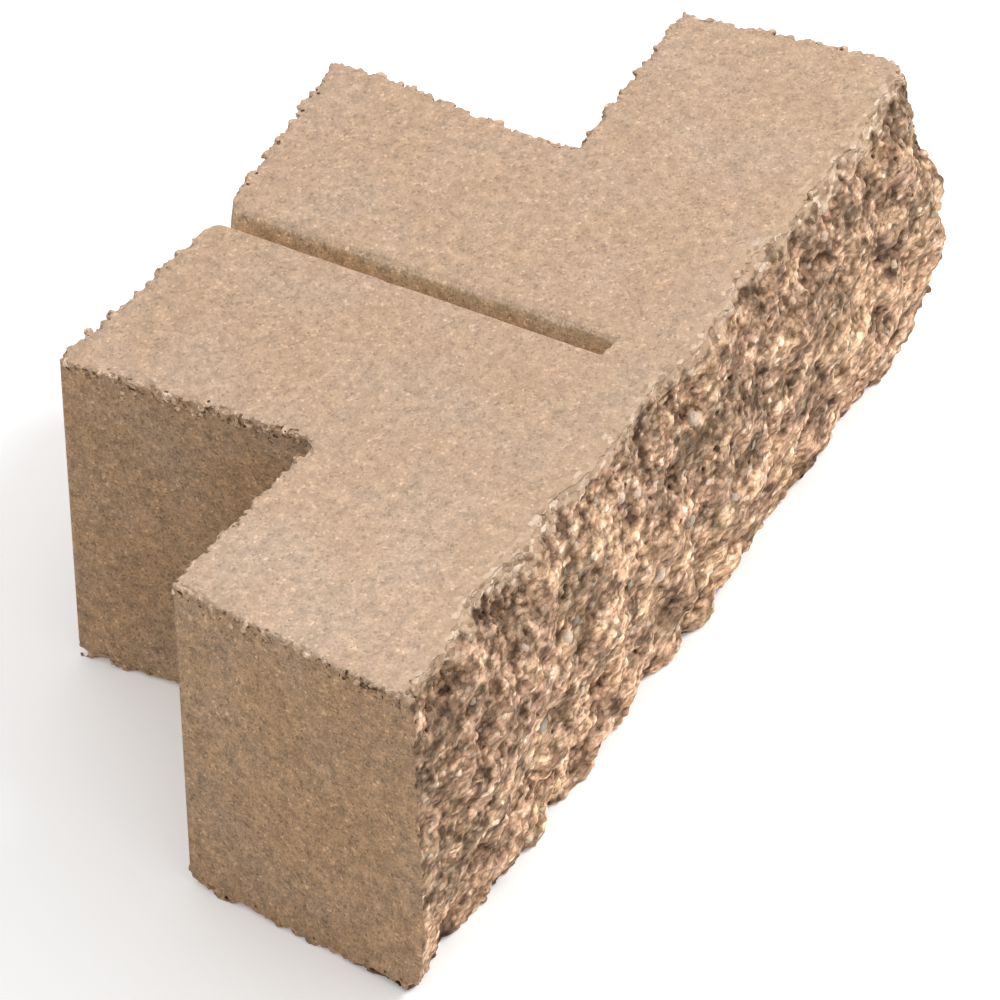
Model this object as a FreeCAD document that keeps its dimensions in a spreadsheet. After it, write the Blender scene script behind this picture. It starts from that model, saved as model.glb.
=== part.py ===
import FreeCAD, Part
import math
import os
import random
import Sketcher

# Retaining wall block, cast in one piece and broken off along its face.
# Frame: X along the face, Y from the face to the tail, Z up from the bed.
# The origin lies on the bed, halfway between the mould line and the tail corners.
# The mould line is where the face would be if it had broken off flat.

NODE = "wall_block"

# Driving dimensions, in millimetres and degrees
SIZES = {
    "block_height": 149.0,
    "face_width": 418.0,
    "bar_rear_width": 389.0,
    "bar_end_depth": 110.0,
    "shoulder_depth": 105.0,
    "tail_root_width": 197.0,
    "tail_rear_width": 208.0,
    "body_depth": 215.0,
    "rear_notch_depth": 10.0,
    "corner_radius": 2.5,
    "shoulder_radius": 5.0,
    "groove_width": 10.0,
    "groove_depth": 20.0,
    "groove_draft": 6.0,
    "groove_end_depth": 35.0,
    "groove_mouth_radius": 5.0,
    "face_set_back": 6.0,
    "face_fall_back": 9.0,
    "face_undercut": 4.0,
    "face_bulge": 13.0,
    "bulge_height": 90.0,
    "swell_radius": 36.0,
    "swell_height": 5.5,
    "far_corner_drop": 11.0,
    "far_corner_length": 20.0,
    "far_corner_height": 22.0,
    "chip_size": 14.0,
    "chip_depth": 3.4,
}

# Swells and hollows of the broken face: where each lies, as shares of the face's
# width and of the block's height, and how far it rises, as a share of the swell height
SWELLS = [
    (0.17, 1.00, -0.9),
    (0.54, 1.00, 0.9),
    (0.14, 0.62, 0.7),
    (0.29, 0.54, 0.9),
    (0.30, 0.29, -0.7),
    (0.50, 0.80, -0.8),
    (0.21, 0.00, 1.0),
    (0.34, 0.00, 1.1),
    (0.57, 0.44, 1.0),
    (0.56, 0.02, 0.8),
    (0.72, 0.04, -1.1),
    (0.74, 0.58, 0.8),
    (0.89, 0.02, -0.9),
    (0.87, 0.40, 0.4),
]

# Share of a chip's length or height by which its corners leave the even grid
CHIP_JITTER = 0.34
CHIP_SEED = 11


def make_sheet(doc):
    """The driving dimensions as named cells."""
    sheet = doc.addObject("Spreadsheet::Sheet", "Sizes")
    for row, (alias, value) in enumerate(SIZES.items(), start=1):
        sheet.set("A%d" % row, alias)
        sheet.set("B%d" % row, str(value))
        sheet.setAlias("B%d" % row, alias)
    doc.recompute()
    return sheet


def origin_plane(body, role):
    """The body's own origin plane with the given role."""
    for feature in body.Origin.OriginFeatures:
        if feature.Role == role:
            return feature
    raise RuntimeError("no origin plane " + role)


def add_sketch(body, name, height_cell=None):
    """A sketch on the bed plane, or raised from it by the named cell."""
    sketch = body.newObject("Sketcher::SketchObject", name)
    sketch.AttachmentSupport = [(origin_plane(body, "XY_Plane"), "")]
    sketch.MapMode = "FlatFace"
    if height_cell:
        sketch.setExpression("AttachmentOffset.Base.z", "Sizes." + height_cell)
    return sketch


def hold(sketch, kind, curve, end, drawn, name, expression):
    """Binds the distance of a curve's end from the origin, in X or Y, to an expression."""
    row = sketch.addConstraint(Sketcher.Constraint(kind, -1, 1, curve, end, drawn))
    sketch.renameConstraint(row, name)
    sketch.setExpression("Constraints." + name, expression)


def place_point(sketch, curve, end, name, across, along):
    """Holds one end of a curve at the given expressions, or on the middle line with none."""
    drawn = sketch.getPoint(curve, end)
    if across is None:
        sketch.addConstraint(Sketcher.Constraint("PointOnObject", curve, end, -2))
    else:
        hold(sketch, "DistanceX", curve, end, drawn.x, name + "_x", across)
    hold(sketch, "DistanceY", curve, end, drawn.y, name + "_y", along)


def draw_polygon(sketch, corners):
    """A closed outline; corners maps a name to its start point and two expressions."""
    names = list(corners)
    count = len(names)
    for i in range(count):
        start = FreeCAD.Vector(*corners[names[i]][0])
        finish = FreeCAD.Vector(*corners[names[(i + 1) % count]][0])
        sketch.addGeometry(Part.LineSegment(start, finish), False)
    for i in range(count):
        sketch.addConstraint(Sketcher.Constraint("Coincident", i, 2, (i + 1) % count, 1))
    for i, name in enumerate(names):
        place_point(sketch, i, 1, name, corners[name][1], corners[name][2])


def plan_corners(size):
    """The T-shaped plan: a bar with tapered ends, and a tail that flares to the rear."""
    mould_line = -size.body_depth / 2
    stock = size.face_bulge + size.swell_height + size.chip_depth
    stock_front = mould_line - stock
    end_taper = (size.face_width - size.bar_rear_width) / 2 / size.bar_end_depth
    front_half = size.face_width / 2 + stock * end_taper
    front_x = ("(Sizes.face_width + (Sizes.face_width - Sizes.bar_rear_width)"
               " * (Sizes.face_bulge + Sizes.swell_height + Sizes.chip_depth)"
               " / Sizes.bar_end_depth) / 2")
    front_y = "-Sizes.body_depth / 2 - Sizes.face_bulge - Sizes.swell_height - Sizes.chip_depth"
    right_side = {
        "front": ((front_half, stock_front), front_x, front_y),
        "bar_end": ((size.bar_rear_width / 2, mould_line + size.bar_end_depth),
                    "Sizes.bar_rear_width / 2",
                    "Sizes.bar_end_depth - Sizes.body_depth / 2"),
        "shoulder": ((size.tail_root_width / 2, mould_line + size.shoulder_depth),
                     "Sizes.tail_root_width / 2",
                     "Sizes.shoulder_depth - Sizes.body_depth / 2"),
        "tail": ((size.tail_rear_width / 2, -mould_line),
                 "Sizes.tail_rear_width / 2",
                 "Sizes.body_depth / 2"),
    }
    corners = {}
    for name, ((x, y), across, along) in right_side.items():
        corners["right_" + name] = ((x, y, 0), across, along)
    corners["notch"] = ((0, -mould_line - size.rear_notch_depth, 0), None,
                        "Sizes.body_depth / 2 - Sizes.rear_notch_depth")
    for name, ((x, y), across, along) in reversed(list(right_side.items())):
        corners["left_" + name] = ((-x, y, 0), "-(" + across + ")", along)
    return corners


def vertical_edges(shape, places):
    """Names of the upright edges that stand at the given places in plan."""
    names = []
    for i, edge in enumerate(shape.Edges, start=1):
        foot = edge.Vertexes[0].Point
        head = edge.Vertexes[-1].Point
        upright = math.hypot(head.x - foot.x, head.y - foot.y) < 1e-6
        if upright and any(math.hypot(foot.x - x, foot.y - y) < 1e-3 for x, y in places):
            names.append("Edge%d" % i)
    return names


def round_corners(doc, body, name, base, places, cell):
    """A fillet on the upright edges at the given places."""
    fillet = body.newObject("PartDesign::Fillet", name)
    fillet.Base = (base, vertical_edges(base.Shape, places))
    fillet.setExpression("Radius", "Sizes." + cell)
    doc.recompute()
    return fillet


def draw_groove(sketch, size):
    """The groove's mouth in the top: a square end, straight sides and a flared rear."""
    half = size.groove_width / 2
    flare = size.groove_mouth_radius
    end_y = size.groove_end_depth - size.body_depth / 2
    rear_y = size.body_depth / 2
    mouth_y = rear_y - size.rear_notch_depth - flare
    vector = FreeCAD.Vector
    up = vector(0, 0, 1)
    quarter = math.pi / 2
    curves = [
        Part.LineSegment(vector(half, end_y, 0), vector(half, mouth_y, 0)),
        Part.ArcOfCircle(Part.Circle(vector(half + flare, mouth_y, 0), up, flare), quarter, 2 * quarter),
        Part.LineSegment(vector(half + flare, mouth_y + flare, 0), vector(half + flare, rear_y, 0)),
        Part.LineSegment(vector(half + flare, rear_y, 0), vector(-half - flare, rear_y, 0)),
        Part.LineSegment(vector(-half - flare, rear_y, 0), vector(-half - flare, mouth_y + flare, 0)),
        Part.ArcOfCircle(Part.Circle(vector(-half - flare, mouth_y, 0), up, flare), 0, quarter),
        Part.LineSegment(vector(-half, mouth_y, 0), vector(-half, end_y, 0)),
        Part.LineSegment(vector(-half, end_y, 0), vector(half, end_y, 0)),
    ]
    for curve in curves:
        sketch.addGeometry(curve, False)
    # Each pair joins the end of one curve to the start of the next; arcs run anticlockwise
    joints = [(0, 2, 1, 2), (1, 1, 2, 1), (2, 2, 3, 1), (3, 2, 4, 1),
              (4, 2, 5, 2), (5, 1, 6, 1), (6, 2, 7, 1), (7, 2, 0, 1)]
    for first, first_end, second, second_end in joints:
        sketch.addConstraint(Sketcher.Constraint("Coincident", first, first_end, second, second_end))
    flare_x = "Sizes.groove_width / 2 + Sizes.groove_mouth_radius"
    mouth = "Sizes.body_depth / 2 - Sizes.rear_notch_depth - Sizes.groove_mouth_radius"
    end_line = "Sizes.groove_end_depth - Sizes.body_depth / 2"
    place_point(sketch, 7, 1, "left_end", "-Sizes.groove_width / 2", end_line)
    place_point(sketch, 0, 1, "right_end", "Sizes.groove_width / 2", end_line)
    place_point(sketch, 1, 3, "right_flare", flare_x, mouth)
    place_point(sketch, 5, 3, "left_flare", "-(" + flare_x + ")", mouth)
    place_point(sketch, 0, 2, "right_mouth", "Sizes.groove_width / 2", mouth)
    place_point(sketch, 6, 1, "left_mouth", "-Sizes.groove_width / 2", mouth)
    place_point(sketch, 3, 1, "right_rear", flare_x, "Sizes.body_depth / 2")
    place_point(sketch, 3, 2, "left_rear", "-(" + flare_x + ")", "Sizes.body_depth / 2")
    for line in (2, 4):
        sketch.addConstraint(Sketcher.Constraint("Vertical", line))


def make_body(doc, size):
    """The block as the mould leaves it, with spare stock in front of the mould line."""
    body = doc.addObject("PartDesign::Body", "CastBody")
    plan = add_sketch(body, "Plan")
    corners = plan_corners(size)
    draw_polygon(plan, corners)
    doc.recompute()
    pad = body.newObject("PartDesign::Pad", "Casting")
    pad.Profile = plan
    pad.setExpression("Length", "Sizes.block_height")
    doc.recompute()
    outer = [corners[side + corner][0][:2] for side in ("right_", "left_") for corner in ("bar_end", "tail")]
    inner = [corners[side + "shoulder"][0][:2] for side in ("right_", "left_")]
    rounded = round_corners(doc, body, "OuterCorners", pad, outer, "corner_radius")
    rounded = round_corners(doc, body, "InnerCorners", rounded, inner, "shoulder_radius")
    groove_sketch = add_sketch(body, "GrooveMouth", "block_height")
    draw_groove(groove_sketch, size)
    doc.recompute()
    groove = body.newObject("PartDesign::Pocket", "Groove")
    groove.Profile = groove_sketch
    groove.setExpression("Length", "Sizes.groove_depth")
    groove.setExpression("TaperAngle", "-Sizes.groove_draft")
    doc.recompute()
    if groove.Shape.Volume > rounded.Shape.Volume - 1.0:
        raise RuntimeError("the groove cut nothing")
    body.Tip = groove
    return body


def swell(size, x, z):
    """The rise of the nearby swells and hollows at x along and z up."""
    rise = 0.0
    for across, up, share in SWELLS:
        away = math.hypot(x - (across - 0.5) * size.face_width, z - up * size.block_height)
        rise += share * size.swell_height * max(1.0 - (away / size.swell_radius) ** 2, 0.0) ** 2
    return rise


def face_level(size, x, z):
    """How far the broken face stands out from the mould line at x along and z up."""
    near_end = -size.face_width / 2
    along = min(max((x - near_end) / size.face_width, 0.0), 1.0)
    # The near end breaks off on the mould line, the rest behind it
    lead_in = min(along * size.face_width / (2 * size.chip_size), 1.0)
    level = -size.face_set_back * lead_in - size.face_fall_back * along
    # Between top and bed the face swells, most at the bulge's height
    below = max((size.bulge_height - z) / size.bulge_height, 0.0)
    above = max((z - size.bulge_height) / (size.block_height - size.bulge_height), 0.0)
    level += size.face_bulge * lead_in * max(1.0 - max(below, above) ** 2, 0.0)
    level -= size.face_undercut * lead_in * below
    level += swell(size, x, z) * lead_in
    # The upper far corner is broken away, down to a ledge just above the bulge
    corner = (x - size.face_width / 2 + size.far_corner_length) / size.far_corner_length
    ledge = (z - size.bulge_height) / size.far_corner_height
    level -= size.far_corner_drop * min(max(corner, 0.0), 1.0) * min(max(ledge, 0.0), 1.0)
    return level


def broken_face_grid(size):
    """Corners of the chips, row by row; the outer ring lies outside the casting."""
    margin = size.chip_size
    columns = round((size.face_width + 2 * margin) / size.chip_size)
    rows = round((size.block_height + 2 * margin) / size.chip_size)
    step_x = (size.face_width + 2 * margin) / columns
    step_z = (size.block_height + 2 * margin) / rows
    chance = random.Random(CHIP_SEED)
    grid = []
    for row in range(rows + 1):
        line = []
        for column in range(columns + 1):
            x = -size.face_width / 2 - margin + column * step_x
            z = -margin + row * step_z
            shift_x = chance.uniform(-CHIP_JITTER, CHIP_JITTER) * step_x
            shift_z = chance.uniform(-CHIP_JITTER, CHIP_JITTER) * step_z
            out = chance.uniform(-size.chip_depth, size.chip_depth)
            if 0 < row < rows:
                z += shift_z
            if 0 < column < columns:
                x += shift_x
            if x < -size.face_width / 2 + size.chip_size / 2:
                out = 0.0
            level = face_level(size, x, z) + out
            line.append(FreeCAD.Vector(x, -size.body_depth / 2 - level, z))
        grid.append(line)
    return grid


def make_waste(doc, size):
    """What broke off in front of the face: chipped at the rear and flat elsewhere."""
    grid = broken_face_grid(size)
    far = -size.body_depth / 2 - 4 * (size.face_bulge + size.swell_height + size.chip_depth)
    faces = []
    for row in range(len(grid) - 1):
        for column in range(len(grid[0]) - 1):
            low_left = grid[row][column]
            low_right = grid[row][column + 1]
            high_left = grid[row + 1][column]
            high_right = grid[row + 1][column + 1]
            if (row + column) % 2:
                halves = [(low_left, low_right, high_right), (low_left, high_right, high_left)]
            else:
                halves = [(low_left, low_right, high_left), (low_right, high_right, high_left)]
            for corners in halves:
                faces.append(Part.Face(Part.makePolygon(list(corners) + [corners[0]])))

    def to_far(point):
        return FreeCAD.Vector(point.x, far, point.z)

    borders = [grid[0], grid[-1], [line[0] for line in grid], [line[-1] for line in grid]]
    for border in borders:
        outline = border + [to_far(border[-1]), to_far(border[0]), border[0]]
        faces.append(Part.Face(Part.makePolygon(outline)))
    rim = [to_far(grid[0][0]), to_far(grid[0][-1]), to_far(grid[-1][-1]), to_far(grid[-1][0])]
    faces.append(Part.Face(Part.makePolygon(rim + [rim[0]])))
    solid = Part.Solid(Part.Shell(faces))
    if solid.Volume < 0:
        solid.reverse()
    waste = doc.addObject("Part::Feature", "BrokenOff")
    waste.Shape = solid
    waste.Placement = FreeCAD.Placement()
    return waste


def check(doc, sub_parts):
    """Stops on a failed object or a shape that is empty or invalid."""
    for item in doc.Objects:
        if "Invalid" in item.State or "Error" in item.State:
            raise RuntimeError("%s failed: %s" % (item.Name, item.State))
    for item in sub_parts:
        if item.Shape.isNull() or not item.Shape.isValid():
            raise RuntimeError(item.Label + " has no valid shape")
        if len(item.Shape.Solids) != 1:
            raise RuntimeError(item.Label + " is not one solid")


def main():
    doc = FreeCAD.newDocument("RetainingWallBlock")
    sheet = make_sheet(doc)
    body = make_body(doc, sheet)
    waste = make_waste(doc, sheet)
    block = doc.addObject("Part::Cut", "Block")
    block.Base = body
    block.Tool = waste
    block.Label = NODE
    block.Placement = FreeCAD.Placement()
    doc.recompute()
    check(doc, [block])
    os.makedirs("parts", exist_ok=True)
    solid = block.Shape.Solids[0]
    solid.exportStep("parts/%s.step" % block.Label)
    box = solid.BoundBox
    print("%s: %.1f x %.1f x %.1f mm, %.2f litres, %d faces"
          % (block.Label, box.XLength, box.YLength, box.ZLength, solid.Volume / 1e6, len(solid.Faces)))
    print("y from %.2f to %.2f" % (box.YMin, box.YMax))


main()
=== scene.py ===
import math

import bmesh
import bpy
import numpy as np
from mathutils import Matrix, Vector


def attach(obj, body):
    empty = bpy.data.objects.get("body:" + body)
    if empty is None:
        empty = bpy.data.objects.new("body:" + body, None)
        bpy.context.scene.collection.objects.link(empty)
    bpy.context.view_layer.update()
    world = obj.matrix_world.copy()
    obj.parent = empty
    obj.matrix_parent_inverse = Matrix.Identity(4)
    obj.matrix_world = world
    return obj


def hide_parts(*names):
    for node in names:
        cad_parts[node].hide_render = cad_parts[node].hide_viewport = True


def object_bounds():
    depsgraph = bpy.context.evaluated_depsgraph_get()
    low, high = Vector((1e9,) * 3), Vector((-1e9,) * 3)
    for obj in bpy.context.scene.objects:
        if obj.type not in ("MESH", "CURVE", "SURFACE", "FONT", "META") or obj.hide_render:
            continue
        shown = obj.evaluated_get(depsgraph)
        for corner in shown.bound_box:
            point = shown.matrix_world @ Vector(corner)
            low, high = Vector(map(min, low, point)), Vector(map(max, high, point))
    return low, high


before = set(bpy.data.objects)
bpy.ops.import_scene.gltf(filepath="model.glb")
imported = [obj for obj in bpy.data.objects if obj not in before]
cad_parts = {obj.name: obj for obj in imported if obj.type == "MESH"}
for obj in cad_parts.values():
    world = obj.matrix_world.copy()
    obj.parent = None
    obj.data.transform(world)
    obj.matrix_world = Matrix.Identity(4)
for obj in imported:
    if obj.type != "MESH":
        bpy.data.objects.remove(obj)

import openvdb
from mathutils import Matrix, Vector

NODE = "wall_block"
CAD_LOW, CAD_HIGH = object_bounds()

# Lengths are in millimetres, but for the camera's, the lamp's and the floor's, which are in metres
METRE = 0.001
TOP = CAD_HIGH.z / METRE
BED = CAD_LOW.z / METRE

# The voxels' size, the distances that they hold, and the seed of all that is random
VOXEL = 0.75
BAND = 8.0
SEED = 5

# The visual mesh: how many triangles it may have, and the angle that counts as an edge
TRIANGLES = 198000
SHARP = math.radians(34)

# The broken face: its depth from the furthest chip, where it ends, and half its width without the ends
BROKEN_DEPTH = 45.0
FACE_BACK = -72.0
FACE_HALF = 196.0

# The two depths at which the bar's straight ends are read from the solid
END_DEPTHS = (-62.0, -28.0)

# Heights and widths of the face's ridges, which are lower near the top, and of the grain on them
RIDGES = ((1.6, 24), (2.2, 12), (1.2, 6.5), (0.6, 3.4))
GRAIN_HEIGHT = 0.4
GRAIN_WIDTH = 1.8
CALM_SHARE = 0.45
CALM_REACH = 14.0

# The face's sockets, stones, gravel and pebbles: cut out or not, how many, radii, pebbles or not
FACE_STONES = (
    (True, 350, 1.1, 2.4, False),
    (False, 9000, 1.3, 2.9, False),
    (False, 13000, 0.9, 1.4, False),
    (False, 95, 2.0, 4.6, True))

# A stone's tint is from -1 to 1. A pebble's is one of two beyond that, pale where its draw is below
# PALE_BELOW and else grey. A tint colours what lies within TINT_REACH of its stone
PALE_PEBBLE = 3.0
GREY_PEBBLE = -3.0
PALE_BELOW = 0.3
TINT_REACH = 0.6

# The rims: how far a slab around one reaches into the block and out of it, how far from its arris
# the wall is read, how wide the wear is, and the shares of it beside the groove and the broken face
RIM_IN = 9.0
RIM_OUT = 4.0
RIM_WALL = 4.0
RIM_WIDTH = 3.0
GROOVE_WEAR = 0.3
FACE_WEAR = 0.2

# The crumbs of a rim, in three turns: cut out or not, radii, spread in height
RIM_STONES = (
    (True, 0.8, 1.5, 2.0),
    (False, 0.9, 1.9, 1.9),
    (True, 0.7, 1.0, 2.2))

# How far the crumbs of the top's rim may stand above the top
PROUD = 0.5

# The stone missing from the face's near bottom corner
CORNER_CHIP = (-207.0, -107.0, -1.0)
CORNER_CHIP_RADIUS = 9.5

# The groove's surroundings, and the rounding of its upper arrises, as shares of EASE
GROOVE_HALF = 16.0
GROOVE_FRONT = -80.0
GROOVE_REAR = 97.0
EASE = 3.4
NEAR_LIP = 0.25
FAR_LIP = 1.3

# The camera: a long lens from above, off the left end of the face
CAMERA_AZIMUTH = -59.195
CAMERA_ELEVATION = 40.508
CAMERA_ROLL = -1.775
CAMERA_DISTANCE = 3.6956
CAMERA_TARGET = (-0.0218, -0.0361, 0.0749)
CAMERA_LENS = 348.84

# The lamp: a soft disk above the face
LAMP_PLACE = (1.30, -1.40, 2.05)
LAMP_AIM = (0, 0, 0.07)
LAMP_SIZE = 0.9
LAMP_POWER = 50.0


class Volume:
    """A block of voxels holding a signed distance, negative inside the concrete."""

    def __init__(self, low, high):
        self.first = np.floor((np.array(low) - BAND) / VOXEL).astype(int)
        last = np.ceil((np.array(high) + BAND) / VOXEL).astype(int)
        self.shape = tuple(last - self.first + 1)
        self.field = np.zeros(self.shape, np.float32)

    def line(self, number):
        """The voxels' coordinates along one axis."""
        return ((self.first[number] + np.arange(self.shape[number])) * VOXEL).astype(np.float32)

    def row(self, number, value):
        """The index of the voxels nearest a coordinate on one axis."""
        return int(round(value / VOXEL)) - int(self.first[number])

    def rim(self, level, side):
        """The layers of voxels around the rim of the top (side 1) or the bed (side -1)."""
        return slice(*sorted((self.row(2, level - side * RIM_IN), self.row(2, level + side * RIM_OUT))))


def sample(volume, array, points):
    """Trilinear values, at points in millimetres, of an array that starts where the volume does."""
    at = points / VOXEL - volume.first
    at = np.clip(at, 0, np.array(array.shape) - 1.001)
    low = at.astype(int)
    part = (at - low).astype(np.float32)
    total = np.zeros(len(at), np.float32)
    for corner in range(8):
        step = [(corner >> n) & 1 for n in range(3)]
        weight = np.ones(len(at), np.float32)
        for n in range(3):
            weight *= part[:, n] if step[n] else 1.0 - part[:, n]
        total += weight * array[low[:, 0] + step[0], low[:, 1] + step[1], low[:, 2] + step[2]]
    return total


def read_solid(volume, solid):
    """Fills the volume with the signed distance to a closed mesh object."""
    mesh = solid.data
    mesh.calc_loop_triangles()
    points = np.zeros(len(mesh.vertices) * 3, np.float32)
    mesh.vertices.foreach_get("co", points)
    corners = np.zeros(len(mesh.loop_triangles) * 3, np.int32)
    mesh.loop_triangles.foreach_get("vertices", corners)
    grid = openvdb.FloatGrid.createLevelSetFromPolygons(
        points.reshape(-1, 3) / METRE,
        triangles=corners.reshape(-1, 3).astype(np.uint32),
        transform=openvdb.createLinearTransform(voxelSize=VOXEL),
        halfWidth=BAND / VOXEL)
    grid.copyToArray(volume.field, ijk=tuple(int(n) for n in volume.first))


def cloud(shape, size, rng):
    """Smooth random field from -1 to 1 with features of about the size given."""
    cell = size / VOXEL
    field = rng.uniform(-1.0, 1.0, [int(n / cell) + 2 for n in shape]).astype(np.float32)
    for axis, count in enumerate(shape):
        at = np.arange(count) / cell
        low = at.astype(int)
        part = (at - low).astype(np.float32)
        part = part * part * (3.0 - 2.0 * part)
        spread = [1, 1, 1]
        spread[axis] = count
        part = part.reshape(spread)
        field = np.take(field, low, axis) * (1.0 - part) + np.take(field, low + 1, axis) * part
    return field


def blur(array, reach):
    """Mean over 2 reach + 1 voxels along each axis."""
    for axis in range(array.ndim):
        ends = [np.repeat(np.take(array, [0], axis), reach + 1, axis), array,
                np.repeat(np.take(array, [-1], axis), reach, axis)]
        total = np.cumsum(np.concatenate(ends, axis), axis, dtype=np.float64)
        count = array.shape[axis]
        upper = np.take(total, range(2 * reach + 1, 2 * reach + 1 + count), axis)
        lower = np.take(total, range(0, count), axis)
        array = ((upper - lower) / (2 * reach + 1)).astype(np.float32)
    return array


class Stones:
    """Convex lumps with flat sides, at 0.7 to 1 times a radius, pressed onto or cut out of a field."""

    def __init__(self, volume, rng):
        self.volume = volume
        self.rng = rng
        sides = rng.normal(size=(80, 13, 3))
        self.kinds = (sides / np.linalg.norm(sides, axis=2, keepdims=True)).astype(np.float32)

    def stamp(self, field, centre, radius, cut=False, tints=None, tint=0.0):
        """Cuts one lump out of a field, or presses it on and writes its tint where it shows."""
        at = centre / VOXEL - self.volume.first
        span = radius * 1.4 / VOXEL + 1.0
        low = np.maximum(np.floor(at - span).astype(int), 0)
        high = np.minimum(np.ceil(at + span).astype(int) + 1, field.shape)
        if np.any(low >= high):
            return
        block = tuple(slice(a, b) for a, b in zip(low, high))
        x, y, z = (((np.arange(a, b) - c) * VOXEL).astype(np.float32) for a, b, c in zip(low, high, at))
        sides = self.kinds[self.rng.integers(len(self.kinds))]
        reach = radius * self.rng.uniform(0.7, 1.0, len(sides)).astype(np.float32)
        lump = (x[:, None, None, None] * sides[:, 0] + y[None, :, None, None] * sides[:, 1]
                + z[None, None, :, None] * sides[:, 2] - reach).max(axis=3)
        ball = np.sqrt(x[:, None, None] ** 2 + y[None, :, None] ** 2 + z[None, None, :] ** 2)
        lump = np.maximum(lump, ball - 0.93 * radius)
        if cut:
            np.maximum(field[block], -lump, out=field[block])
            return
        if tints is not None:
            tints[block][(lump < field[block]) & (lump < TINT_REACH)] = tint
        np.minimum(field[block], lump, out=field[block])


def crossings(values, at):
    """First and last place where a row of distances is zero."""
    inside = np.nonzero(values < 0)[0]
    a, b = inside[0], inside[-1]
    low = at[a] - (at[a] - at[a - 1]) * values[a] / (values[a] - values[a - 1])
    high = at[b] + (at[b + 1] - at[b]) * values[b] / (values[b] - values[b + 1])
    return low, high


def face_depth(volume):
    """The y of the solid's broken face over x and z, carried on past its outline."""
    y = volume.line(1)
    inside = volume.field < 0
    reached = inside.any(axis=1)
    first = inside.argmax(axis=1)
    i, k = np.nonzero(reached)
    j = first[i, k]
    here = volume.field[i, j, k]
    before = volume.field[i, j - 1, k]
    depth = np.full(reached.shape, np.nan, np.float32)
    depth[i, k] = y[j] - VOXEL * here / (here - before)
    rows = np.nonzero(reached.any(axis=0))[0]
    bottom, top = rows[0] + 1, rows[-1] - 1
    depth[:, :bottom] = depth[:, bottom:bottom + 1]
    depth[:, top + 1:] = depth[:, top:top + 1]
    columns = np.nonzero(~np.isnan(depth).any(axis=1))[0]
    left, right = columns[0] + 2, columns[-1] - 2
    depth[:left] = depth[left]
    depth[right + 1:] = depth[right]
    return depth


def mould_field(volume, count):
    """Distance to the bar's flat ends, top and bed, before its face was broken."""
    x, y, z = (volume.line(n) for n in range(3))
    middle = volume.row(2, (TOP + BED) / 2)
    near, far = (volume.row(1, depth) for depth in END_DEPTHS)
    near_ends = crossings(volume.field[:, near, middle], x)
    far_ends = crossings(volume.field[:, far, middle], x)
    ends = []
    for side, a, b in ((-1, near_ends[0], far_ends[0]), (1, near_ends[1], far_ends[1])):
        slope = (b - a) / (y[far] - y[near])
        edge = a + (y[:count] - y[near]) * slope
        ends.append(side * (x[:, None] - edge[None, :]))
    flat = np.maximum(ends[0], ends[1])[:, :, None]
    return np.maximum(flat, np.maximum(z - TOP, BED - z)[None, None, :])


def break_face(volume, stones, rng):
    """Gives the broken face its ridges, stones and sockets, in place of the solid's flat chips.

    Returns the moulded shape's field, the face's relief smoothed twice, and the stones' tints.
    """
    y = volume.line(1)
    count = volume.row(1, CAD_LOW.y / METRE + BROKEN_DEPTH)
    shape = (volume.shape[0], count, volume.shape[2])
    mould = mould_field(volume, count)
    rough = 0.0
    for height, width in RIDGES:
        rough = rough + height * cloud(shape, width, rng)
    calm = CALM_SHARE + (1.0 - CALM_SHARE) * np.clip((TOP - volume.line(2)) / CALM_REACH, 0.0, 1.0)
    ground = blur(face_depth(volume), 2)[:, None, :] - y[None, :count, None]
    relief = ground + rough * calm[None, None, :]
    relief += GRAIN_HEIGHT * cloud(shape, GRAIN_WIDTH, rng)
    relief = relief.astype(np.float32)
    surface = (blur(relief, 4) < 0).argmax(axis=1)

    # Stones sink into the surface or stand in it by a share of their radius
    tints = np.zeros(shape, np.float32)
    margin = int(BAND / VOXEL)
    for cut, number, small, large, pebbles in FACE_STONES:
        for n in range(number):
            i = rng.uniform(margin, shape[0] - margin)
            k = rng.uniform(margin, shape[2] - margin)
            radius = small + (large - small) * rng.random() ** 2
            sink = rng.uniform(-0.5, 0.4) if cut else rng.uniform(0.15, 0.75)
            j = surface[int(i), int(k)] + sink * radius / VOXEL
            centre = (np.array([i, j, k]) + volume.first) * VOXEL
            tint = rng.uniform(-1.0, 1.0)
            if pebbles:
                tint = PALE_PEBBLE if tint < PALE_BELOW else GREY_PEBBLE
            stones.stamp(relief, centre, radius, cut, tints, tint)
    envelope = volume.field.copy()
    envelope[:, :count] = mould
    volume.field[:, :count] = np.maximum(relief, mould)
    return envelope, blur(relief, 3), blur(relief, 11), tints


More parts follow.
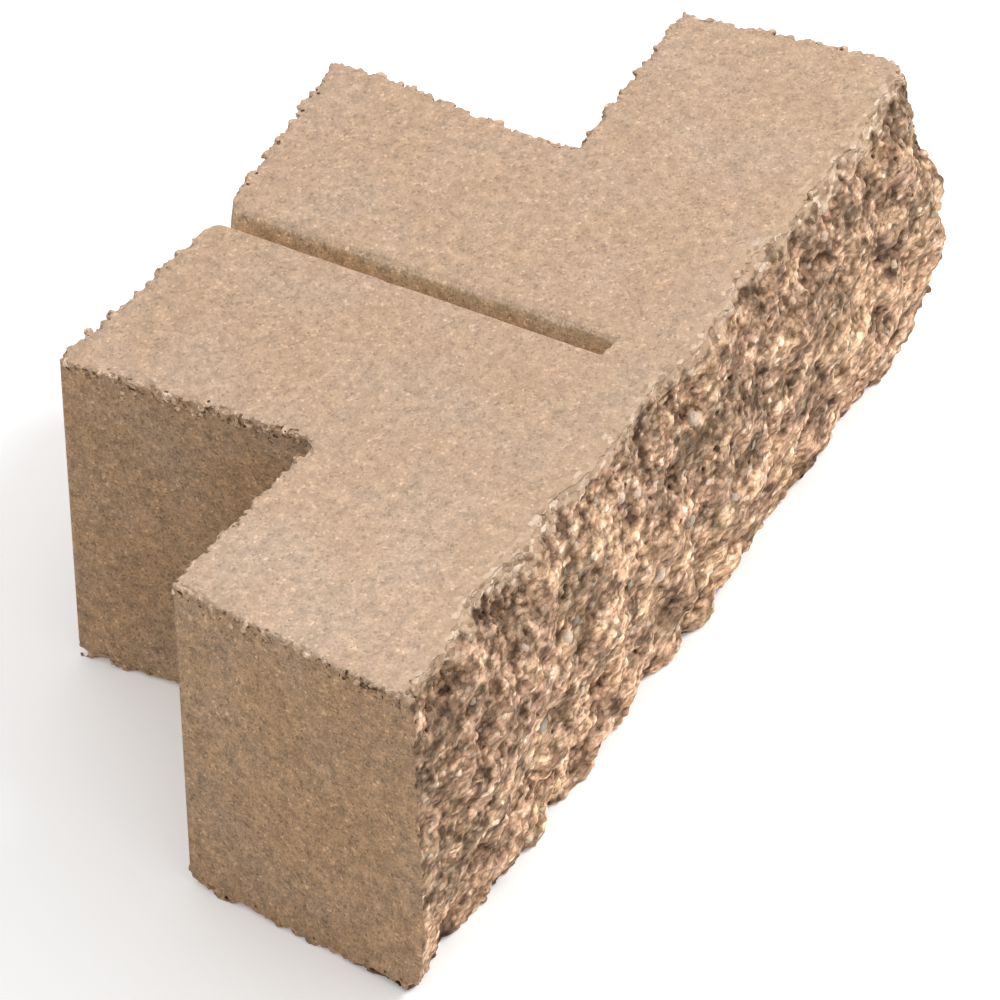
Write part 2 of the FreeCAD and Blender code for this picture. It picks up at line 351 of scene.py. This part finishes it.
def wear_rim(volume, stones, rng, level, side, depth, crumbs, bury):
    """Rounds and crumbles the arrises around the top (side 1) or the bed (side -1).

    depth scales the loss at the arris. crumbs is the number of stones tried in a turn, and a third
    of it that of sockets. bury is how deep in the block a stone's middle lies, at least, in radii.
    """
    x, y, z = (volume.line(n) for n in range(3))
    slab = volume.rim(level, side)
    wall = volume.field[:, :, volume.row(2, level - side * RIM_WALL)].copy()
    cap = side * (z[slab] - level)
    near = np.exp(-(wall[:, :, None] ** 2 + cap[None, None, :] ** 2) / RIM_WIDTH ** 2)
    groove = (np.abs(x[:, None]) < GROOVE_HALF) & (y[None, :] > GROOVE_FRONT)
    face = (np.abs(x[:, None]) < FACE_HALF) & (y[None, :] < FACE_BACK)
    near *= np.where(groove, GROOVE_WEAR, np.where(face, FACE_WEAR, 1.0))[:, :, None]
    shape = near.shape

    # Patches of heavier wear, about 22 mm wide, with bites of 8 and 4 mm in them
    patch = 0.25 + 1.1 * np.maximum(cloud(shape[:2] + (1,), 22, rng)[:, :, 0] + 0.35, 0.0)
    wear = 0.3 + patch[:, :, None] * (0.3 + 2.2 * cloud(shape, 8, rng) + 1.8 * cloud(shape, 3.6, rng))
    volume.field[:, :, slab] += (near * depth * np.maximum(wear, -0.2)).astype(np.float32)

    rim = np.argwhere((np.abs(wall) < 0.6 * VOXEL) & ~groove & ~face)
    for cut, small, large, spread in RIM_STONES:
        for n in range(crumbs // 3 if cut else crumbs):
            i, j = rim[rng.integers(len(rim))]
            if rng.random() > patch[i, j] + 0.3:
                continue
            radius = small + (large - small) * rng.random() ** 2.5
            least_drop = 0.6 * radius if cut else 0.2
            drop = abs(rng.normal(0, spread * min(0.4 + patch[i, j], 1.3))) + least_drop
            centre = np.array([x[i], y[j], level - drop * side]) + rng.normal(0, 1.0, 3)
            i, j, k = (centre / VOXEL - volume.first).round().astype(int)
            if cut or volume.field[i, j, k] < -bury * radius:
                stones.stamp(volume.field, centre, radius, cut)


def soften(volume, level, side):
    """Takes the thin spikes off the crumbs of one rim."""
    slab = volume.field[:, volume.row(1, FACE_BACK):, volume.rim(level, side)]
    slab[:] = np.maximum(slab, 0.6 * slab + 0.4 * blur(slab, 1))


def ease_groove(volume, rng):
    """Rounds the groove's upper arrises, the near one a little and the far one more."""
    x, y, z = (volume.line(n) for n in range(3))
    columns = slice(volume.row(0, -GROOVE_HALF), volume.row(0, GROOVE_HALF))
    rows = slice(volume.row(1, GROOVE_FRONT), volume.row(1, GROOVE_REAR))
    slab = slice(volume.row(2, TOP - 8.0), volume.row(2, TOP + 3.0))
    wall = volume.field[columns, rows, volume.row(2, TOP - 7.0)][:, :, None]
    cap = (z[slab] - TOP)[None, None, :]
    block = volume.field[columns, rows, slab]
    share = np.where(x[columns] < 0.0, NEAR_LIP, FAR_LIP)[:, None, None]
    radius = EASE * share * (1.0 + 0.3 * cloud(block.shape, 9, rng))
    outside = np.hypot(np.maximum(wall + radius, 0.0), np.maximum(cap + radius, 0.0))
    eased = np.minimum(np.maximum(wall, cap) + radius, 0.0) + outside - radius
    volume.field[columns, rows, slab] = np.maximum(block, eased)


def mesh_from(volume, name):
    """A closed mesh object on the volume's zero surface, in metres."""
    grid = openvdb.FloatGrid(BAND)
    grid.copyFromArray(volume.field, ijk=tuple(int(n) for n in volume.first))
    grid.transform = openvdb.createLinearTransform(voxelSize=VOXEL)
    points, triangles, quads = grid.convertToPolygons(0.0, 0.0)
    faces = [f[:, ::-1] for f in (triangles, quads)]
    corners = np.concatenate([f.ravel() for f in faces]).astype(np.int32)
    sizes = np.concatenate([np.full(len(f), f.shape[1], np.int32) for f in faces])
    starts = np.concatenate([[0], np.cumsum(sizes)[:-1]]).astype(np.int32)
    mesh = bpy.data.meshes.new(name)
    mesh.vertices.add(len(points))
    mesh.vertices.foreach_set("co", (points * METRE).astype(np.float32).ravel())
    mesh.loops.add(len(corners))
    mesh.loops.foreach_set("vertex_index", corners)
    mesh.polygons.add(len(sizes))
    mesh.polygons.foreach_set("loop_start", starts)
    mesh.update(calc_edges=True)
    piece = bpy.data.objects.new(name, mesh)
    bpy.context.scene.collection.objects.link(piece)
    return piece


def apply_modifiers(piece):
    """Puts a piece's modifiers into its mesh."""
    mesh = piece.data
    graph = bpy.context.evaluated_depsgraph_get()
    piece.data = bpy.data.meshes.new_from_object(piece.evaluated_get(graph))
    piece.modifiers.clear()
    piece.data.name = piece.name
    bpy.data.meshes.remove(mesh)


def keep_largest(piece):
    """Drops loose crumbs and closed hollows, all but the largest connected shell."""
    mesh = piece.data
    edges = np.zeros(len(mesh.edges) * 2, np.int32)
    mesh.edges.foreach_get("vertices", edges)
    first, second = edges.reshape(-1, 2).T
    label = np.arange(len(mesh.vertices))
    before = None
    while before is None or not np.array_equal(label, before):
        before = label.copy()
        low = np.minimum(label[first], label[second])
        np.minimum.at(label, label[first], low)
        np.minimum.at(label, label[second], low)
        label = label[label]
    loose = np.nonzero(label != np.bincount(label).argmax())[0]
    work = bmesh.new()
    work.from_mesh(mesh)
    work.verts.ensure_lookup_table()
    bmesh.ops.delete(work, geom=[work.verts[n] for n in loose], context="VERTS")
    work.to_mesh(mesh)
    work.free()


def reduce(piece, triangles):
    """Collapses edges, the flattest first, until the piece has that many triangles."""
    count = len(piece.data.loops) - 2 * len(piece.data.polygons)
    modifier = piece.modifiers.new("reduce", "DECIMATE")
    modifier.ratio = min(1.0, triangles / count)
    apply_modifiers(piece)
    keep_largest(piece)
    piece.data.polygons.foreach_set("use_smooth", [True] * len(piece.data.polygons))
    piece.data.set_sharp_from_angle(angle=SHARP)
    weigh = piece.modifiers.new("weigh", "WEIGHTED_NORMAL")
    weigh.keep_sharp = True
    apply_modifiers(piece)


def face_edge(volume):
    """The y of the worn block's front edge along its top, smoothed, for each x."""
    inside = volume.field[:, :, volume.row(2, TOP - 2.0)] < 0
    edge = np.where(inside.any(axis=1), volume.line(1)[inside.argmax(axis=1)], volume.line(1)[-1])
    return blur(edge, 3)


def build_block():
    """The visual block, with what its material needs to know stored on its points."""
    rng = np.random.default_rng(SEED)
    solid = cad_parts[NODE]
    corners = np.array([v.co for v in solid.data.vertices]) / METRE
    volume = Volume(corners.min(axis=0), corners.max(axis=0))
    stones = Stones(volume, rng)
    read_solid(volume, solid)
    envelope, smooth, broad, tints = break_face(volume, stones, rng)
    ease_groove(volume, rng)
    moulded = smooth.shape[1]
    envelope[:, moulded:] = volume.field[:, moulded:]
    wear_rim(volume, stones, rng, TOP, 1, depth=0.5, crumbs=4600, bury=0.0)
    wear_rim(volume, stones, rng, BED, -1, depth=1.9, crumbs=3200, bury=0.3)
    stones.stamp(volume.field, np.array(CORNER_CHIP), CORNER_CHIP_RADIUS, cut=True)
    soften(volume, TOP, 1)
    soften(volume, BED, -1)
    z = volume.line(2)
    np.maximum(volume.field, np.maximum(BED - z, z - TOP - PROUD), out=volume.field)
    piece = mesh_from(volume, "block")
    reduce(piece, TRIANGLES)

    mesh = piece.data
    points = np.zeros(len(mesh.vertices) * 3, np.float32)
    mesh.vertices.foreach_get("co", points)
    points = points.reshape(-1, 3) / METRE
    front = points[:, 1] < volume.line(1)[moulded - 3]
    edge = face_edge(volume)
    across = np.clip(points[:, 0] / VOXEL - volume.first[0], 0, len(edge) - 1).astype(int)
    values = {
        "depth": -sample(volume, envelope, points),
        "height": np.where(front, sample(volume, smooth, points), 0.0),
        "swell": np.where(front, sample(volume, broad, points), 0.0),
        "tint": np.where(front, sample(volume, tints, points), 0.0),
        "inland": points[:, 1] - edge[across],
    }
    for name, value in values.items():
        mesh.attributes.new(name, "FLOAT", "POINT").data.foreach_set("value", value.astype(np.float32))
    return piece


class Tree:
    """Short ways to lay the nodes of one material."""

    def __init__(self, name):
        self.material = bpy.data.materials.new(name)
        self.material.use_nodes = True
        self.nodes = self.material.node_tree.nodes
        self.links = self.material.node_tree.links
        self.shader = self.nodes["Principled BSDF"]

    def join(self, value, socket):
        if isinstance(value, bpy.types.NodeSocket):
            self.links.new(value, socket)
        else:
            socket.default_value = value

    def math(self, operation, first, second=0.0):
        node = self.nodes.new("ShaderNodeMath")
        node.operation = operation
        self.join(first, node.inputs[0])
        self.join(second, node.inputs[1])
        return node.outputs[0]

    def scaled(self, vector, factor):
        node = self.nodes.new("ShaderNodeVectorMath")
        node.operation = "SCALE"
        self.join(vector, node.inputs[0])
        node.inputs["Scale"].default_value = factor
        return node.outputs[0]

    def scaled_and_moved(self, vector, factors, shift):
        node = self.nodes.new("ShaderNodeVectorMath")
        node.operation = "MULTIPLY_ADD"
        self.join(vector, node.inputs[0])
        node.inputs[1].default_value = factors
        self.join(shift, node.inputs[2])
        return node.outputs[0]

    def remap(self, value, low, high, to_low=0.0, to_high=1.0):
        node = self.nodes.new("ShaderNodeMapRange")
        node.interpolation_type = "SMOOTHSTEP"
        for socket, number in zip(node.inputs, (value, low, high, to_low, to_high)):
            self.join(number, socket)
        return node.outputs[0]

    def mix(self, factor, first, second, blend="MIX"):
        node = self.nodes.new("ShaderNodeMix")
        node.data_type = "RGBA"
        node.blend_type = blend
        self.join(factor, node.inputs[0])
        self.join(first, node.inputs[6])
        self.join(second, node.inputs[7])
        return node.outputs[2]

    def times(self, first, second):
        return self.mix(1.0, first, second, "MULTIPLY")

    def tinged(self, share, color, factors):
        """A colour multiplied by three factors, where the share is 1."""
        return self.mix(share, color, self.times(color, (*factors, 1.0)))

    def attribute(self, name):
        node = self.nodes.new("ShaderNodeAttribute")
        node.attribute_name = name
        return node.outputs["Fac"]

    def noise(self, place, size, detail=2.0, rough=0.5):
        node = self.nodes.new("ShaderNodeTexNoise")
        self.join(place, node.inputs["Vector"])
        node.inputs["Scale"].default_value = 1.0 / size
        node.inputs["Detail"].default_value = detail
        node.inputs["Roughness"].default_value = rough
        return node

    def cells(self, place, size):
        node = self.nodes.new("ShaderNodeTexVoronoi")
        self.join(place, node.inputs["Vector"])
        node.inputs["Scale"].default_value = 1.0 / size
        return node

    def ramp(self, value, stops, mode="LINEAR"):
        node = self.nodes.new("ShaderNodeValToRGB")
        node.color_ramp.interpolation = mode
        elements = node.color_ramp.elements
        while len(elements) < len(stops):
            elements.new(0.5)
        for element, (position, color) in zip(elements, stops):
            element.position = position
            element.color = (*color, 1.0) if isinstance(color, tuple) else (color, color, color, 1.0)
        self.join(value, node.inputs[0])
        return node.outputs[0]

    def red(self, color):
        node = self.nodes.new("ShaderNodeSeparateColor")
        self.join(color, node.inputs[0])
        return node.outputs[0]


class Concrete(Tree):
    """Sandy tan concrete, smooth where it met the mould and coarse where it was broken."""

    def __init__(self):
        super().__init__("concrete")
        self.place = self.scaled(self.nodes.new("ShaderNodeTexCoord").outputs["Object"], 1.0 / METRE)
        axes = self.nodes.new("ShaderNodeSeparateXYZ")
        self.join(self.place, axes.inputs[0])
        self.x, self.y, self.z = axes.outputs
        self.top = self.remap(self.z, TOP - 2.0, TOP - 0.4)
        self.behind = self.remap(self.y, FACE_BACK, FACE_BACK + 6.0)
        self.patches = self.noise(self.place, 38.0, 2.0).outputs["Fac"]
        self.clusters = self.noise(self.place, 6.5, 1.0).outputs["Fac"]
        self.fine = self.noise(self.place, 0.9, 2.0, 0.65).outputs["Fac"]

        # Sand in the skin, and grains in the broken stone that are longer along the face
        self.wobble = self.noise(self.place, 1.6, 1.0)
        sway = self.wobble.outputs["Color"]
        self.sand = self.cells(self.scaled_and_moved(sway, (1.6, 1.6, 1.6), self.place), 1.1)
        chips = self.scaled_and_moved(self.place, (0.55, 1.0, 1.0), self.scaled(sway, 0.7))
        self.grains = self.cells(chips, 1.8)
        self.grain = self.red(self.grains.outputs["Color"])
        # The seams between grains: a lower bump height at the grains' edges, and painted shade there in
        # the stone's colour
        self.seams = self.remap(self.grains.outputs["Distance"], 0.80, 0.45)

        # The surface is broken where it lies below the mould's, or stands out of it
        depth = self.attribute("depth")
        self.broken = self.math("MAXIMUM", self.remap(depth, 0.25, 0.9), self.remap(depth, -0.25, -0.6))

    def skin(self):
        """The skin left by the mould: sand with pale grains and small dark pits, with painted light on the
        groove's walls.
        """
        sides = self.ramp(self.patches, [
            (0.35, (0.374, 0.236, 0.133)), (0.5, (0.378, 0.245, 0.144)), (0.68, (0.366, 0.247, 0.157))])
        upper = self.ramp(self.patches, [
            (0.35, (0.448, 0.307, 0.206)), (0.5, (0.450, 0.314, 0.216)), (0.68, (0.442, 0.318, 0.226))])
        upper = self.tinged(self.remap(self.x, -40.0, -190.0), upper, (1.09, 1.12, 1.16))
        skin = self.mix(self.top, sides, upper)

        sand = self.red(self.sand.outputs["Color"])
        mottle = self.noise(self.place, 5.0, 2.0, 0.65).outputs["Fac"]
        top_sand = self.ramp(sand, [
            (0.0, 0.75), (0.07, 0.90), (0.3, 0.97), (0.74, 1.02), (0.88, 1.10), (0.965, 1.28)], "CONSTANT")
        side_sand = self.ramp(sand, [
            (0.0, 0.66), (0.07, 0.86), (0.3, 0.96), (0.70, 1.02), (0.88, 1.10), (0.97, 1.36)], "CONSTANT")
        top_fine = self.ramp(self.fine, [(0.3, 0.88), (0.7, 1.14)])
        side_fine = self.ramp(self.fine, [(0.3, 0.74), (0.7, 1.28)])
        top_mottle = self.ramp(mottle, [(0.3, (0.845, 0.845, 0.855)), (0.7, (1.155, 1.145, 1.135))])
        side_mottle = self.ramp(mottle, [(0.3, (0.75, 0.76, 0.78)), (0.7, (1.25, 1.23, 1.21))])
        for on_side, on_top in ((side_sand, top_sand), (side_fine, top_fine), (side_mottle, top_mottle)):
            skin = self.times(skin, self.mix(self.top, on_side, on_top))

        # Painted light: the groove's walls are lightened in colour, paler than the sides, standing in for
        # light falling into the groove
        middle = self.remap(self.math("ABSOLUTE", self.x), 14.0, 10.0)
        low = self.remap(self.z, TOP - 26.0, TOP - 22.0)
        ahead = self.remap(self.y, GROOVE_REAR + 1.0, GROOVE_REAR - 3.0)
        inside = self.math("MULTIPLY", self.math("MULTIPLY", middle, low), ahead)
        inside = self.math("MULTIPLY", inside, self.math("SUBTRACT", 1.0, self.top))
        return self.tinged(inside, skin, (1.55, 1.75, 1.95))

    def stone(self):
        """The broken face: separate grains from dark brown to pale peach, and pebbles, some grey, with
        painted shade in its seams, sockets and hollows.
        """
        tint = self.attribute("tint")
        stone = self.ramp(self.grain, [
            (0.0, (0.32, 0.22, 0.145)), (0.10, (0.49, 0.325, 0.220)), (0.28, (0.58, 0.385, 0.270)),
            (0.45, (0.57, 0.395, 0.265)), (0.60, (0.67, 0.455, 0.330)), (0.76, (0.46, 0.34, 0.25)),
            (0.84, (0.71, 0.505, 0.370)), (0.94, (0.76, 0.61, 0.49))], "CONSTANT")
        areas = self.noise(self.place, 19.0, 1.0).outputs["Fac"]
        # Painted shade: the seams' ramp darkens the grains' edges, where shade falls between them; the
        # other ramps are patches of tone
        for value, stops in (
                (self.seams, [(0.0, (0.66, 0.61, 0.56)), (1.0, 1.0)]),
                (self.patches, [(0.38, (1.00, 0.96, 0.94)), (0.62, (0.97, 0.97, 0.92))]),
                (self.remap(tint, -1.0, 1.0), [
                    (0.0, (0.52, 0.49, 0.46)), (0.5, (1.0, 1.0, 1.0)), (1.0, (1.38, 1.39, 1.41))]),
                (areas, [
                    (0.34, (0.60, 0.59, 0.57)), (0.47, (0.95, 0.94, 0.92)), (0.58, (1.14, 1.12, 1.09)),
                    (0.68, (1.26, 1.24, 1.20))]),
                (self.clusters, [
                    (0.32, (0.44, 0.41, 0.38)), (0.48, (0.98, 0.97, 0.96)), (0.66, (1.40, 1.41, 1.43))])):
            stone = self.times(stone, self.ramp(value, stops))
        pale = self.mix(
            self.remap(self.clusters, 0.40, 0.60), (0.62, 0.475, 0.38, 1.0), (0.65, 0.525, 0.39, 1.0))
        stone = self.mix(self.remap(tint, 1.4, 2.2), stone, pale)
        stone = self.mix(self.remap(tint, -1.4, -2.2), stone, (0.42, 0.35, 0.28, 1.0))

        # Painted shade: the colour is darkened and browned in sockets and hollows, where shade falls in
        # them; the face is also darker towards its ends and its top
        sockets = self.ramp(self.remap(self.attribute("height"), -1.2, 1.0), [
            (0.0, (0.42, 0.33, 0.25)), (0.5, (0.92, 0.90, 0.87)), (1.0, (1.15, 1.15, 1.15))])
        hollows = self.ramp(self.remap(self.attribute("swell"), -2.6, 2.6), [
            (0.0, (0.60, 0.56, 0.52)), (0.5, (1.0, 1.0, 1.0)), (1.0, (1.2, 1.2, 1.2))])
        near = self.remap(self.x, -190.0, -70.0, 0.84, 1.0)
        far = self.remap(self.x, -40.0, 190.0, 1.0, 0.90)
        upper = self.remap(self.z, 20.0, TOP - 30.0, 1.03, 0.79)
        fall = self.math("MULTIPLY", self.math("MULTIPLY", near, far), upper)
        return self.times(self.times(self.times(stone, sockets), hollows), fall)

    def crumbs(self):
        """Bites and crumbs of the arrises: paler than the broken face, and duller along the bed."""
        crumb = self.ramp(self.grain, [
            (0.0, (0.36, 0.235, 0.145)), (0.12, (0.50, 0.340, 0.220)), (0.4, (0.60, 0.420, 0.290)),
            (0.75, (0.74, 0.545, 0.400))], "CONSTANT")
        return self.tinged(self.remap(self.z, 30.0, 15.0), crumb, (0.78, 0.73, 0.64))

    def powder(self):
        """The bruised edge between the top and the broken face."""
        return self.ramp(self.grain, [
            (0.0, (0.30, 0.205, 0.130)), (0.12, (0.43, 0.295, 0.195)), (0.5, (0.51, 0.36, 0.25)),
            (0.8, (0.60, 0.445, 0.325)), (0.92, (0.69, 0.55, 0.43))], "CONSTANT")

    def relief(self):
        """Heights in millimetres for the bump: grains where broken, pits and fine sand all over."""
        steps = self.math("MULTIPLY", self.grain, 0.35)
        lumps = self.math("ADD", self.math("MULTIPLY", self.seams, 0.25), steps)
        rough = self.math("MULTIPLY", self.wobble.outputs["Fac"], 0.4)
        coarse = self.math("MULTIPLY", self.math("ADD", lumps, rough), self.broken)
        pits = self.math("MULTIPLY", self.sand.outputs["Distance"], -0.12)
        return self.math("ADD", coarse, self.math("ADD", pits, self.math("MULTIPLY", self.fine, 0.30)))

    def finished(self):
        """The material, with its colours and bump joined to the shader."""
        powder = self.powder()
        stone = self.mix(self.behind, self.stone(), self.crumbs())
        ragged = self.math("ADD", self.z, self.math("MULTIPLY", self.clusters, 22.0))
        ahead = self.math("SUBTRACT", 1.0, self.behind)
        crust = self.math("MULTIPLY", self.remap(ragged, TOP + 1.0, TOP + 8.0), ahead)
        stone = self.mix(crust, stone, powder)
        crushed = self.math("ADD", self.attribute("inland"), self.math("MULTIPLY", self.clusters, 14.0))
        bruise = self.math("MULTIPLY", self.remap(crushed, 15.0, 7.0), self.top)
        skin = self.mix(self.math("MULTIPLY", bruise, 0.75), self.skin(), powder)

        self.join(self.mix(self.broken, skin, stone), self.shader.inputs["Base Color"])
        self.shader.inputs["Roughness"].default_value = 0.92
        self.shader.inputs["Specular IOR Level"].default_value = 0.25
        bump = self.nodes.new("ShaderNodeBump")
        bump.inputs["Strength"].default_value = 1.0
        bump.inputs["Distance"].default_value = METRE
        self.join(self.relief(), bump.inputs["Height"])
        self.join(bump.outputs[0], self.shader.inputs["Normal"])
        return self.material


def make_camera():
    """Looks at the block from the photograph's place."""
    azimuth, elevation, roll = (math.radians(a) for a in (CAMERA_AZIMUTH, CAMERA_ELEVATION, CAMERA_ROLL))
    back = Vector((math.sin(azimuth) * math.cos(elevation),
                   -math.cos(azimuth) * math.cos(elevation), math.sin(elevation)))
    camera = bpy.data.objects.new("camera", bpy.data.cameras.new("camera"))
    bpy.context.scene.collection.objects.link(camera)
    camera.data.sensor_width = 36.0
    camera.data.lens = CAMERA_LENS
    camera.data.clip_start = 0.01
    camera.data.clip_end = 50.0
    turn = (-back).to_track_quat("-Z", "Y").to_matrix().to_4x4() @ Matrix.Rotation(roll, 4, "Z")
    camera.matrix_world = Matrix.Translation(Vector(CAMERA_TARGET) + back * CAMERA_DISTANCE) @ turn
    bpy.context.scene.camera = camera


def make_floor():
    """A pale floor just under the bed."""
    bpy.ops.mesh.primitive_plane_add(size=12.0, location=(0, 0, CAD_LOW.z - 0.0002))
    floor = bpy.context.object
    floor.name = "floor"
    tree = Tree("floor")
    tree.shader.inputs["Base Color"].default_value = (0.92, 0.92, 0.92, 1)
    tree.shader.inputs["Roughness"].default_value = 0.95
    tree.shader.inputs["Specular IOR Level"].default_value = 0.1
    tree.shader.inputs["Emission Color"].default_value = (1.0, 1.0, 1.0, 1)
    tree.shader.inputs["Emission Strength"].default_value = 0.12
    floor.data.materials.append(tree.material)


def make_light():
    """A white dome, brighter above, and one large soft lamp above the face."""
    world = bpy.data.worlds.new("studio")
    bpy.context.scene.world = world
    world.use_nodes = True
    nodes, links = world.node_tree.nodes, world.node_tree.links
    axes = nodes.new("ShaderNodeSeparateXYZ")
    links.new(nodes.new("ShaderNodeTexCoord").outputs["Generated"], axes.inputs[0])
    dome = nodes.new("ShaderNodeMapRange")
    dome.interpolation_type = "SMOOTHSTEP"
    dome.inputs["To Min"].default_value = 0.35
    dome.inputs["To Max"].default_value = 1.2
    links.new(axes.outputs["Z"], dome.inputs["Value"])
    links.new(dome.outputs[0], nodes["Background"].inputs["Strength"])
    nodes["Background"].inputs["Color"].default_value = (1.0, 1.0, 1.0, 1)

    light = bpy.data.lights.new("key", "AREA")
    light.shape = "DISK"
    light.size = LAMP_SIZE
    light.energy = LAMP_POWER
    lamp = bpy.data.objects.new("key", light)
    bpy.context.scene.collection.objects.link(lamp)
    lamp.location = LAMP_PLACE
    lamp.rotation_mode = "QUATERNION"
    lamp.rotation_quaternion = (Vector(LAMP_AIM) - lamp.location).to_track_quat("-Z", "Y")


block = build_block()
block.data.materials.clear()
block.data.materials.append(Concrete().finished())
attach(block, "root")
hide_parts(NODE)
make_floor()
make_light()
make_camera()
bpy.context.scene.view_settings.view_transform = "Standard"
